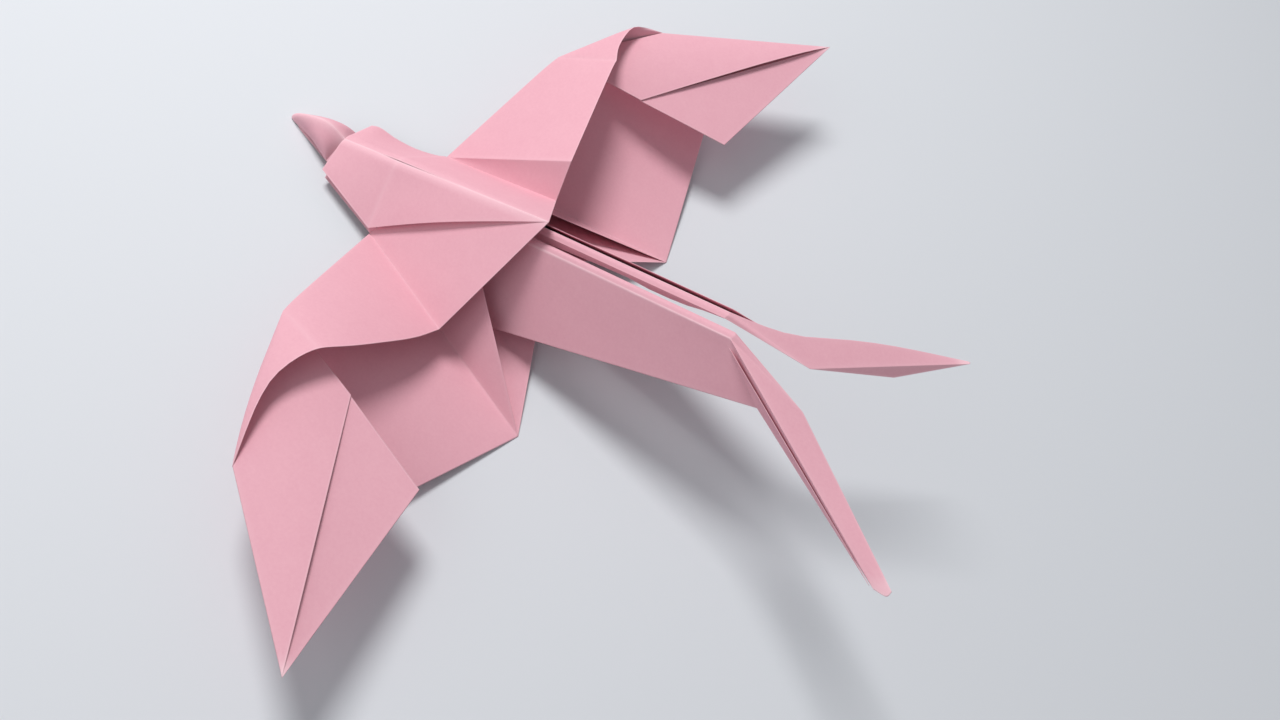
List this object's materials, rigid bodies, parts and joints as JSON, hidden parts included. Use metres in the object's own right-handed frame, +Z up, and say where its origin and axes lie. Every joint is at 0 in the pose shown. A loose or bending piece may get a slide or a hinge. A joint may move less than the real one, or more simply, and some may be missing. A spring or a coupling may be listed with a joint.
{
  "type": "origami swallow",
  "caption": "Paper swallow folded from one square sheet, with spread wings, a short beak and a long tail cut into two prongs.",
  "frame": {"origin": "middle of the bounding box, on the table it lies on", "axes": "+X towards the beak, +Y towards the bird's left wing, +Z up"},
  "size_m": [0.1716, 0.2106, 0.0404],
  "materials": {
    "paper": "matt uncoated paper, coloured through"
  },
  "bodies": {
    "root": {"swallow": "paper"}
  },
  "joints": []
}
